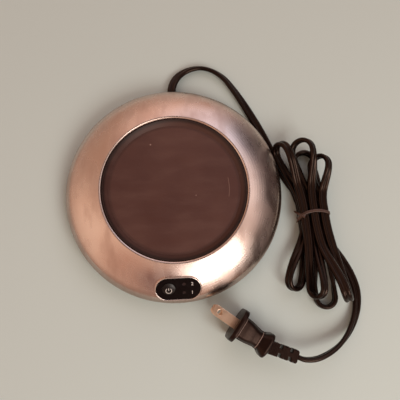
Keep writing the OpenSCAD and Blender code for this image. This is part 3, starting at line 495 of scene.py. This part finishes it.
edge_line = [(-0.6, RELIEF_W / 2)]
for x, wide, deep in SLOTS:
    edge_line += [(x, RELIEF_W / 2), (x, RELIEF_W / 2 - deep), (x + wide, RELIEF_W / 2 - deep),
                  (x + wide, RELIEF_W / 2)]
edge_line += [(RELIEF_L - 0.8, RELIEF_W / 2), (RELIEF_L, RELIEF_W / 2 - 0.8)]
other_edge = [(x, -y) for x, y in reversed(edge_line)]
relief = flat_outline("relief_blocks", [edge_line + other_edge], RELIEF_H, RELIEF_EDGE)
relief.data.transform(in_metres(RELIEF_PLACED))
relief.data.shade_smooth()
relief.data.set_sharp_from_angle(angle=radians(50))
dress(relief, "warmer", "plug_black", "plug_strain_relief")

# ---- Ribs at the relief's root ------------------------------------------


def rib_tree():
    """Node tree that stands rounded ribs in a row along X."""
    tree = bpy.data.node_groups.new("ribs in a row", "GeometryNodeTree")
    face = tree.interface
    for name, kind in (("Count", "NodeSocketInt"), ("Pitch", "NodeSocketFloat"),
                       ("Size", "NodeSocketVector"), ("Material", "NodeSocketMaterial")):
        face.new_socket(name, in_out="INPUT", socket_type=kind)
    face.new_socket("Geometry", in_out="OUTPUT", socket_type="NodeSocketGeometry")

    def part(kind, **links):
        made = tree.nodes.new(kind)
        for name, source in links.items():
            tree.links.new(source, made.inputs[name.replace("_", " ")])
        return made

    given = part("NodeGroupInput").outputs
    step = part("ShaderNodeCombineXYZ", X=given["Pitch"])
    row = part("GeometryNodeMeshLine", Count=given["Count"], Offset=step.outputs[0])
    block = part("GeometryNodeMeshCube", Size=given["Size"])
    block.inputs["Vertices Y"].default_value = 5
    block.inputs["Vertices Z"].default_value = 7
    finer = part("GeometryNodeSubdivisionSurface", Mesh=block.outputs["Mesh"])
    finer.inputs["Level"].default_value = 2
    stood = part("GeometryNodeInstanceOnPoints", Points=row.outputs["Mesh"],
                 Instance=finer.outputs["Mesh"])
    real = part("GeometryNodeRealizeInstances", Geometry=stood.outputs["Instances"])
    smooth = part("GeometryNodeSetShadeSmooth", Geometry=real.outputs["Geometry"])
    painted = part("GeometryNodeSetMaterial", Geometry=smooth.outputs["Geometry"],
                   Material=given["Material"])
    out = part("NodeGroupOutput")
    tree.links.new(painted.outputs["Geometry"], out.inputs["Geometry"])
    return tree


def rib_row(name, count, pitch, size, material, place):
    """A row of ribs from the tree, made a plain mesh and put in place."""
    thing = bpy.data.objects.new(name, bpy.data.meshes.new(name))
    bpy.context.collection.objects.link(thing)
    ribs = thing.modifiers.new("ribs", "NODES")
    ribs.node_group = RIB_TREE
    sockets = {s.name: s.identifier for s in RIB_TREE.interface.items_tree if s.in_out == "INPUT"}
    ribs[sockets["Count"]] = count
    ribs[sockets["Pitch"]] = pitch * MM
    ribs[sockets["Size"]] = [s * MM for s in size]
    ribs[sockets["Material"]] = material
    made = plain_mesh(thing)
    made.data.transform(in_metres(place))
    return made


RIB_TREE = rib_tree()

# ---- Blades -------------------------------------------------------------
# Folded brass strip, drawn as one plate with a chamfered tip and a punched hole.

BLADE_L, BLADE_W, BLADE_T, BLADE_PITCH = 16.4, 6.35, 1.5, 12.7
BLADE_HOLE_R, BLADE_HOLE_X = 1.6, 4.4
BLADE_TIP, BLADE_EDGE = 1.3, 0.22

half = BLADE_W / 2
blade_outline = [
    (0.4, -half), (0.4, half), (-BLADE_L + BLADE_TIP * 1.5, half), (-BLADE_L, half - BLADE_TIP),
    (-BLADE_L, -half + BLADE_TIP), (-BLADE_L + BLADE_TIP * 1.5, -half),
]
hole_outline = [
    (-BLADE_L + BLADE_HOLE_X + BLADE_HOLE_R * cos(tau * i / 32), BLADE_HOLE_R * sin(tau * i / 32))
    for i in range(32)
]
for level, z in (("lower", -BLADE_PITCH / 2), ("upper", BLADE_PITCH / 2)):
    blade = flat_outline(f"blade_{level}", [blade_outline, hole_outline], BLADE_T, BLADE_EDGE)
    blade.data.transform(in_metres(PLUG_TURNED @ Matrix.Translation((0, 0, z))))
    blade.data.shade_smooth()
    blade.data.set_sharp_from_angle(angle=radians(50))
    dress(blade, "warmer", "blade_metal", "plug_blades")

# ---- Marks on the panel -------------------------------------------------
# A power sign on the button and the plain numbers 2 and 1 beside the lights.

PANEL_RING_R, PANEL_Z, PANEL_TILT, PANEL_SINK = 61.1, 18.5336, radians(30.5765), 0.2
ON_PANEL = (
    Matrix.Translation((0, -PANEL_RING_R, PANEL_Z)) @ Matrix.Rotation(PANEL_TILT, 4, "X")
    @ Matrix.Translation((0, 0, -PANEL_SINK))
)
BUTTON_X, BUTTON_R, BUTTON_CROWN, BUTTON_EDGE = 5.8, 3.9, 0.6, 0.2
LIGHT_PITCH = 5.8
PRINT_T = 0.05
SIGN_R, SIGN_STROKE, SIGN_GAP, SIGN_Y = 1.75, 0.42, 38, -0.9

dome_rise = BUTTON_CROWN - BUTTON_EDGE
DOME_R = (BUTTON_R ** 2 + dome_rise ** 2) / (2 * dome_rise)


def on_button(x, y):
    """Point on the button's crown, a print's thickness above it."""
    z = BUTTON_CROWN - DOME_R + sqrt(DOME_R ** 2 - x * x - y * y) + PRINT_T
    return ON_PANEL @ Vector((x - BUTTON_X, y, z))


def print_stroke(name, centres, ways):
    """A thin printed line on the button through centres, with its side ways."""
    points, faces = [], []
    for (x, y), (nx, ny) in zip(centres, ways):
        for side in (-1, 0, 1):
            points.append(on_button(x + side * nx * SIGN_STROKE / 2, y + side * ny * SIGN_STROKE / 2))
    for i in range(len(centres) - 1):
        for k in (0, 1):
            a = 3 * i + k
            faces.append((a, a + 1, a + 4, a + 3))
    thing = piece_from(name, points, faces)
    shell = thing.modifiers.new("print", "SOLIDIFY")
    shell.thickness = PRINT_T * MM
    shell.offset = -1
    return plain_mesh(thing)


turns = [radians(90 + SIGN_GAP + i * (360 - 2 * SIGN_GAP) / 48) for i in range(49)]
sign_ring = print_stroke(
    "sign_ring", [(SIGN_R * cos(a), SIGN_Y + SIGN_R * sin(a)) for a in turns],
    [(-cos(a), -sin(a)) for a in turns])
sign_bar = print_stroke(
    "sign_bar", [(0, SIGN_Y + 0.25 + i * 0.38) for i in range(5)], [(1, 0)] * 5)
for sign in (sign_ring, sign_bar):
    dress(sign, "button", "white_plastic")


def number(name, words, x, y, size):
    """Plain digits printed on the panel."""
    text = bpy.data.curves.new(name, "FONT")
    text.body = words
    text.size = size * MM
    text.align_x = "CENTER"
    text.align_y = "CENTER"
    text.extrude = PRINT_T / 2 * MM
    text.offset = 0.03 * MM
    thing = bpy.data.objects.new(name, text)
    bpy.context.collection.objects.link(thing)
    made = plain_mesh(thing)
    made.data.transform(in_metres(ON_PANEL @ Matrix.Translation((x, y, PRINT_T / 2))))
    dress(made, "warmer", "white_plastic")


NUMBER_X, NUMBER_SIZE = 8.4, 3
number("number_two", "2", NUMBER_X, LIGHT_PITCH / 2, NUMBER_SIZE)
number("number_one", "1", NUMBER_X, -LIGHT_PITCH / 2, NUMBER_SIZE)

# The cover's pressed collar has a polished crest
PANEL_W, PANEL_D, TRIM_R, TRIM_OUT = 26.6, 14.2, 0.32, 0.5


def trim_rings():
    """Rings of a thin round bead that follows the panel's outline."""
    rings = []
    for i in range(96):
        a = tau * i / 96
        middle = (PANEL_W - PANEL_D) / 2 * (1 if cos(a) >= 0 else -1)
        out = Vector((cos(a), sin(a), 0))
        centre = Vector((middle, 0, 0.3)) + out * (PANEL_D / 2 + TRIM_OUT)
        rings.append([ON_PANEL @ (centre + TRIM_R * (out * cos(tau * k / 8) + UP * sin(tau * k / 8)))
                      for k in range(8, 0, -1)])
    return rings


trim_loop = trim_rings()
collar = piece_from("collar_crest", [q for ring in trim_loop for q in ring], skin(trim_loop, True))
dress(collar, "warmer", "brushed_cover")

# ---- Materials ----------------------------------------------------------

# Most of a noise lies between these
NOISE = (0.3, 0.7)


def linear(code):
    """Linear colour from an sRGB hex code."""
    parts = [int(code[i:i + 2], 16) / 255 for i in (1, 3, 5)]
    return (*(c / 12.92 if c <= 0.04045 else ((c + 0.055) / 1.055) ** 2.4 for c in parts), 1)


def connect(tree, node, *first, **inputs):
    """Gives a node its inputs, in order and then by name: values, hex colours or outputs."""
    named = [(node.inputs[name.replace("_", " ")], value) for name, value in inputs.items()]
    for socket, value in [*zip(node.inputs, first), *named]:
        if isinstance(value, bpy.types.NodeSocket):
            tree.links.new(value, socket)
        else:
            socket.default_value = linear(value) if isinstance(value, str) else value


def add(tree, kind, *first, settings=None, take=0, **inputs):
    """Adds a shader node with its settings and links, and gives one of its outputs."""
    made = tree.nodes.new("ShaderNode" + kind)
    for name, value in (settings or {}).items():
        setattr(made, name, value)
    connect(tree, made, *first, **inputs)
    return made.outputs[take]


def start(name, **look):
    """A material with one Principled shader, its tree and that shader."""
    made = bpy.data.materials.new(name)
    made.use_nodes = True
    shader = made.node_tree.nodes["Principled BSDF"]
    connect(made.node_tree, shader, **look)
    return made, made.node_tree, shader


def grain(tree, size, stretch=(1, 1, 1), detail=3.0):
    """Noise from 0 to 1 whose features measure about size millimetres, times stretch."""
    scaled = add(tree, "VectorMath", add(tree, "TexCoord", take="Object"),
                 [1 / (size * s * MM) for s in stretch], settings={"operation": "MULTIPLY"})
    return add(tree, "TexNoise", Vector=scaled, Scale=1.0, Detail=detail, take="Fac")


def round_middle(tree, where):
    """Distance from the upright axis, and the way outwards from it."""
    parts = add(tree, "SeparateXYZ", where).node.outputs
    flat = add(tree, "CombineXYZ", parts["X"], parts["Y"])
    return (add(tree, "VectorMath", flat, settings={"operation": "LENGTH"}, take="Value"),
            add(tree, "VectorMath", flat, settings={"operation": "NORMALIZE"}))


def moulded(name, colours, gloss, size=0.6, relief=0.02, stretch=(1, 1, 1), **look):
    """A finish whose colour, gloss and relief wander together over a real size."""
    made, tree, shader = start(name, **look)
    broad, fine = grain(tree, size * 12, stretch), grain(tree, size, stretch)
    connect(tree, shader,
            Base_Color=add(tree, "MixRGB", add(tree, "MapRange", broad, *NOISE, 0, 1), *colours),
            Roughness=add(tree, "MapRange", fine, *NOISE, *gloss),
            Normal=add(tree, "Bump", Height=fine, Distance=relief * MM, Strength=1.0))
    return made


def brushed_steel():
    """Stainless steel spun on a lathe: fine rings round the middle, faint warm patches
    where it has been warm, and hairline scratches from wiping."""
    made, tree, shader = start("brushed stainless steel", Metallic=1.0)
    where = add(tree, "TexCoord", take="Object")
    reach, way = round_middle(tree, where)
    slow = add(tree, "VectorMath", way, settings={"operation": "SCALE"}, Scale=2.5)
    # Brushing lines 0.1 mm wide, drawn 0.35 mm wide so that they show
    rings = add(tree, "Math", reach, 1 / (0.35 * MM), settings={"operation": "MULTIPLY"})
    lines_at = add(tree, "VectorMath", slow, add(tree, "CombineXYZ", Z=rings),
                   settings={"operation": "ADD"})
    lines = add(tree, "TexNoise", Vector=lines_at, Scale=1.0, Detail=2.0, take="Fac")
    patches = grain(tree, 26)
    smears = grain(tree, 9, (1, 2.2, 1), 4.0)
    warmed = add(tree, "MapRange", patches, *NOISE, 0, 1)
    tone = add(tree, "MixRGB", warmed, "#F0E2DA", "#EAD5CA")
    smeared = add(tree, "MapRange", smears, 0.48, 0.72, 0, 0.55)
    tone = add(tree, "MixRGB", smeared, tone, "#C7AC9F")
    # Hairlines: the crests of two noises stretched along different ways
    for stretch, turn in (((0.16, 9, 1), 0.5), ((0.2, 7, 1), -0.9)):
        spun = add(tree, "VectorRotate", settings={"rotation_type": "Z_AXIS"},
                   Vector=where, Angle=turn)
        scaled = add(tree, "VectorMath", spun, [1 / (s * MM) for s in stretch],
                     settings={"operation": "MULTIPLY"})
        hair = add(tree, "TexNoise", Vector=scaled, Scale=1.0, Detail=1.0, take="Fac")
        crest = add(tree, "MapRange", hair, 0.7, 0.76, 0, 0.35)
        tone = add(tree, "MixRGB", crest, tone, "#FBF4F0")
    # Painted shade: the base colour darkens towards the rolled outer edge, from 64 mm outwards
    edge_shade = add(tree, "MapRange", reach, 64 * MM, 69.5 * MM, 0, 0.8)
    connect(tree, shader,
            Base_Color=add(tree, "MixRGB", edge_shade, tone, "#8E7264"),
            Roughness=add(tree, "MapRange", smears, *NOISE, 0.19, 0.36),
            Normal=add(tree, "Bump", Height=lines, Distance=0.012 * MM, Strength=0.4))
    return made


SCRATCH_R, SCRATCH_HALF_W = 34, 0.15


def coated_plate():
    """Aluminium with a brown non-stick coating: a soft sheen, fine orange peel,
    wiped streaks, a few light specks and one curved scratch."""
    made, tree, shader = start("non-stick coated aluminium", Specular_IOR_Level=0.5)
    where = add(tree, "TexCoord", take="Object")
    broad = grain(tree, 30)
    wiped = grain(tree, 7, (3, 1, 1), 4.0)
    tone = add(tree, "MixRGB", add(tree, "MapRange", broad, *NOISE, 0, 1), "#553731", "#61423A")
    streaks = add(tree, "MapRange", wiped, 0.5, 0.75, 0, 0.35)
    tone = add(tree, "MixRGB", streaks, tone, "#6C4D43")
    # A speck in the middle of a few of the cells, which are 7 mm across
    cells = add(tree, "TexVoronoi", Vector=where, Scale=1 / (7 * MM), Randomness=1.0).node.outputs
    chosen = add(tree, "SeparateColor", cells["Color"], take="Red")
    rare = add(tree, "MapRange", chosen, 0.84, 0.86, 0, 1)
    near = add(tree, "MapRange", cells["Distance"], 0.05, 0.09, 0.8, 0)
    speck = add(tree, "Math", rare, near, settings={"operation": "MULTIPLY"})
    tone = add(tree, "MixRGB", speck, tone, "#B89C90")
    reach, way = round_middle(tree, where)
    away = add(tree, "Math", reach, SCRATCH_R * MM, SCRATCH_HALF_W * MM,
               settings={"operation": "COMPARE"})
    rightwards = add(tree, "SeparateXYZ", way, take="X")
    arc = add(tree, "MapRange", rightwards, 0.982, 0.986, 0, 0.5)
    on_arc = add(tree, "Math", away, arc, settings={"operation": "MULTIPLY"})
    tone = add(tree, "MixRGB", on_arc, tone, "#A5877A")
    # Painted shade: the colour darkens from the sloping step outwards, and more in a band against the
    # rim, where the recess lies in shade
    step = add(tree, "MapRange", reach, 39.2 * MM, 40.2 * MM, 0, 0.3)
    tone = add(tree, "MixRGB", step, tone, "#2C1C18")
    rim_shade = add(tree, "MapRange", reach, 42.5 * MM, 43.7 * MM, 0, 0.8)
    connect(tree, shader,
            Base_Color=add(tree, "MixRGB", rim_shade, tone, "#20130F"),
            Roughness=add(tree, "MapRange", wiped, *NOISE, 0.36, 0.5),
            Normal=add(tree, "Bump", Height=grain(tree, 0.5), Distance=0.012 * MM, Strength=1.0))
    return made


def cord_skin():
    """Flexible PVC drawn over two cores: satin, with faint drawing lines along it."""
    made, tree, shader = start("flexible PVC cord skin", Specular_Tint="#FFDAC4",
                               Specular_IOR_Level=0.35)
    # Lines 30 mm long, sixty to the girth
    scaled = add(tree, "VectorMath", add(tree, "TexCoord", take="UV"), (1 / (30 * MM), 60, 1),
                 settings={"operation": "MULTIPLY"})
    drawn = add(tree, "TexNoise", Vector=scaled, Scale=1.0, Detail=2.0, take="Fac")
    dusty = add(tree, "MapRange", grain(tree, 6), *NOISE, 0, 1)
    connect(tree, shader,
            Base_Color=add(tree, "MixRGB", dusty, "#120A08", "#1A100D"),
            Roughness=add(tree, "MapRange", drawn, *NOISE, 0.18, 0.28),
            Normal=add(tree, "Bump", Height=drawn, Distance=0.03 * MM, Strength=1.0))
    return made


def circuit_board():
    """Glass fibre board under green mask: copper runs show through as paler lanes."""
    made, tree, shader = start("solder mask on glass fibre", Coat_Weight=0.4)
    lanes = add(tree, "TexBrick", Vector=add(tree, "TexCoord", take="Object"), Scale=1 / (5 * MM),
                Mortar_Size=0.07, Color1="#0F4A26", Color2="#0C3F20", Mortar="#2C7A45").node.outputs
    connect(tree, shader,
            Base_Color=lanes["Color"],
            Roughness=add(tree, "MapRange", grain(tree, 1.5), *NOISE, 0.25, 0.4),
            Normal=add(tree, "Bump", Height=lanes["Fac"], Distance=0.03 * MM, Strength=1.0))
    return made


looks = {
    "brushed_cover": brushed_steel(),
    "coated_plate": coated_plate(),
    # Moulded silicone: matt, and it takes fine dust
    "silicone": moulded("moulded silicone", ("#1A1716", "#242120"), (0.5, 0.7)),
    # Glass fibres float to the surface of the nylon as a faint mottle
    "carrier_plastic": moulded(
        "glass-filled nylon", ("#262424", "#333131"), (0.4, 0.6), 0.4, 0.03),
    # Pressed mica flakes glitter a little
    "mica": moulded("mica board", ("#A98C5F", "#C4A878"), (0.25, 0.5), 1.2, 0.02),
    # Blanket of ceramic fibre: matt and fluffy
    "fibre": moulded(
        "ceramic fibre blanket", ("#D8D3C1", "#EAE6D8"), (0.9, 1.0), 0.3, 0.1, (4, 1, 1)),
    # Zinc plating: cool grey with a slight spangle
    "zinc_steel": moulded(
        "zinc-plated steel", ("#AEB0B2", "#C2C0BA"), (0.28, 0.42), 2, 0.01, Metallic=1.0),
    # Nickel plating: darker and shinier, with tool marks
    "screw_steel": moulded(
        "nickel-plated steel", ("#9D9C9A", "#B2B0AC"), (0.22, 0.36), 0.5, 0.01, Metallic=1.0),
    # Tin over brass: warm grey, soft shine
    "fuse_case": moulded(
        "tinned brass", ("#BBAA8C", "#CCC0A8"), (0.28, 0.42), 0.8, 0.01, Metallic=1.0),
    # Cast epoxy: glossy and slightly wavy
    "sensor_epoxy": moulded("cast epoxy", ("#131313", "#1C1B1A"), (0.25, 0.4), 2, 0.03),
    # Extruded sleeves: satin and even
    "white_wire": moulded("silicone wire sleeve", ("#D2D1C8", "#E2E1DA"), (0.4, 0.55)),
    "grey_wire": moulded("PVC wire sleeve", ("#66666B", "#7B7B80"), (0.35, 0.5)),
    # Spark-eroded mould: an even fine grain
    "black_base": moulded(
        "textured polypropylene", ("#161313", "#1F1B1B"), (0.42, 0.6), 0.35, 0.05),
    # Rubber: the darkest and dullest piece
    "foot_rubber": moulded("foot rubber", ("#0E0E0E", "#191818"), (0.6, 0.8), 0.4, 0.03),
    # Polished mould: near mirror gloss with faint wipe marks
    "panel_gloss": moulded("polished black ABS", ("#050303", "#080504"), (0.08, 0.18), 3, 0.004),
    # Finely blasted mould: a satin cap in the glossy panel
    "button_black": moulded("satin black ABS", ("#0E0908", "#140D0B"), (0.24, 0.36), 0.3, 0.01),
    # Plain and print white: off-white, satin
    "white_plastic": moulded("white acetal", ("#D6D2CE", "#E4E1DC"), (0.35, 0.5)),
    # Dark windows that show as faint round spots when unlit
    "light_window": moulded(
        "smoked acrylic", ("#2A2120", "#352A29"), (0.05, 0.15), 1, 0.004, Coat_Weight=0.5),
    # Tinted epoxy: clean gloss
    "lamp_epoxy": moulded("red lamp epoxy", ("#8E120F", "#A81A14"), (0.1, 0.2), 1, 0.01),
    "board_green": circuit_board(),
    # Dipped film: glossy with soft dents
    "capacitor_case": moulded(
        "capacitor film", ("#97500F", "#AA6020"), (0.18, 0.32), 1.5, 0.03),
    # Moulded case: fine matt
    "chip_black": moulded("mould compound", ("#0F0F0F", "#191919"), (0.45, 0.6), 0.2, 0.02),
    "cord_black": cord_skin(),
    # Clear brown plastic, drawn thin
    "tie_brown": moulded("drawn polythene", ("#4E362A", "#614537"), (0.22, 0.38), 0.8, 0.03,
                         (1, 1, 1), Transmission_Weight=0.25),
    # Injection-moulded soft PVC: satin with light flow marks
    "plug_black": moulded("moulded soft PVC", ("#150C0A", "#1E1210"), (0.28, 0.4), 1.2, 0.02,
                          Specular_Tint="#FFD6C2", Specular_IOR_Level=0.28),
    # Stamped brass, warm in the light, with drawing lines along the strip
    "blade_metal": moulded("stamped brass", ("#F8D6B8", "#FFE2C8"), (0.3, 0.38), 0.7, 0.004,
                           (6, 1, 1), Metallic=1.0),
}

RIB_N, RIB_PITCH, RIB_T = 5, 1, 0.45
ribs_place = RELIEF_PLACED @ Matrix.Translation((0.8, 0, 0))
root_ribs = rib_row("relief_ribs", RIB_N, RIB_PITCH, (RIB_T, RELIEF_W + 0.5, RELIEF_H + 0.4),
                    looks["plug_black"], ribs_place)
dress(root_ribs, "warmer", "plug_black")

slot_of = {s["node"]: s["material_slot"] for s in frame["record"]["subparts"]}
for node_name, thing in frame["nodes"].items():
    thing.data.materials.clear()
    thing.data.materials.append(looks[slot_of[node_name]])
for thing, slot in dressed:
    thing.data.materials.clear()
    thing.data.materials.append(looks[slot])
# Painted highlight: the raised lines on the plug are coloured paler than the rest, standing in for
# the light they catch
painted_highlight = moulded("soft PVC with painted highlight", ("#8C766C", "#A48D82"), (0.3, 0.4), 0.6)
for line_piece in hoops:
    line_piece.data.materials[0] = painted_highlight
# Polished steel: a thin bright line round the panel
collar.data.materials[0] = moulded(
    "polished stainless steel", ("#FFF6F0", "#F4E6DE"), (0.12, 0.2), 1, 0.002, Metallic=1.0)

# ---- Floor and light ----------------------------------------------------

FLOOR_HALF = 1.5
floor_mesh = bpy.data.meshes.new("floor")
floor_mesh.from_pydata(
    [(x * FLOOR_HALF, y * FLOOR_HALF, 0) for x, y in ((-1, -1), (1, -1), (1, 1), (-1, 1))],
    [], [(0, 1, 2, 3)],
)
floor = bpy.data.objects.new("floor", floor_mesh)
bpy.context.collection.objects.link(floor)
# A cool pale tone, because the light is warm
floor.data.materials.append(start("pale floor", Roughness=0.9, Base_Color="#D8EAE7")[0])


def area_light(name, place, aim, size, power, colour):
    lamp = bpy.data.lights.new(name, "AREA")
    lamp.shape = "RECTANGLE"
    lamp.size, lamp.size_y = size
    lamp.energy = power
    lamp.color = linear(colour)[:3]
    thing = bpy.data.objects.new(name, lamp)
    thing.location = place
    thing.rotation_euler = (Vector(aim) - Vector(place)).to_track_quat("-Z", "Y").to_euler()
    bpy.context.collection.objects.link(thing)


area_light("key", (0.42, -0.63, 0.7), (0.02, -0.02, 0), (0.6, 0.46), 4.5, "#FFF4EC")

world = bpy.data.worlds.new("studio")
bpy.context.scene.world = world
world.use_nodes = True
sky = world.node_tree
look_way = add(sky, "TexCoord", take="Generated")
STUDIO_TONE, LOW_TONE, ROOM_TONE, STUDIO_LEVEL = "#CDAA96", "#7A5A4C", "#CFCEC4", 1.05
# Soft panels and flags round the table: azimuth, height and spread in degrees, tone.
# They, more than the steel, give the cover its tan, pink and lilac.
PANELS = [
    (190, 40, 60, "#E6C0A8"), (240, 35, 35, "#B98E7A"), (130, 35, 45, "#A98470"),
    (80, 40, 45, "#EBC2B0"), (40, 42, 50, "#F4EAF6"), (0, 48, 40, "#FFE9E2"),
    (-50, 45, 42, "#AE9080"), (262, 33, 25, "#6E504B"), (90, 84, 34, "#3A2E29"),
]
FLAGS = [(6, 14, 30, "#2A1C18"), (36, 14, 30, "#2A1C18"), (-28, 13, 31, "#2A1C18")]


def lit_from(tone, azimuth, height, spread, code):
    """The tone of the studio with one more soft panel or flag in it."""
    way = (cos(radians(azimuth)) * cos(radians(height)),
           sin(radians(azimuth)) * cos(radians(height)), sin(radians(height)))
    facing = add(sky, "VectorMath", look_way, way, settings={"operation": "DOT_PRODUCT"},
                 take="Value")
    amount = add(sky, "MapRange", facing, cos(radians(spread)), 1.0,
                 settings={"interpolation_type": "SMOOTHSTEP"})
    return add(sky, "MixRGB", amount, tone, code)


tone = STUDIO_TONE
for panel in PANELS:
    tone = lit_from(tone, *panel)
low = add(sky, "MapRange", add(sky, "SeparateXYZ", look_way, take="Z"), 0.0, 0.45, 0.55, 0.0,
          settings={"interpolation_type": "SMOOTHSTEP"})
tone = add(sky, "MixRGB", low, tone, LOW_TONE)
for flag in FLAGS:
    tone = lit_from(tone, *flag)
# The camera itself sees a plain pale room
seen = add(sky, "LightPath", take="Is Camera Ray")
tone = add(sky, "MixRGB", seen, tone, ROOM_TONE)
connect(sky, sky.nodes["Background"], Color=tone, Strength=STUDIO_LEVEL)

bpy.context.scene.view_settings.view_transform = "Standard"
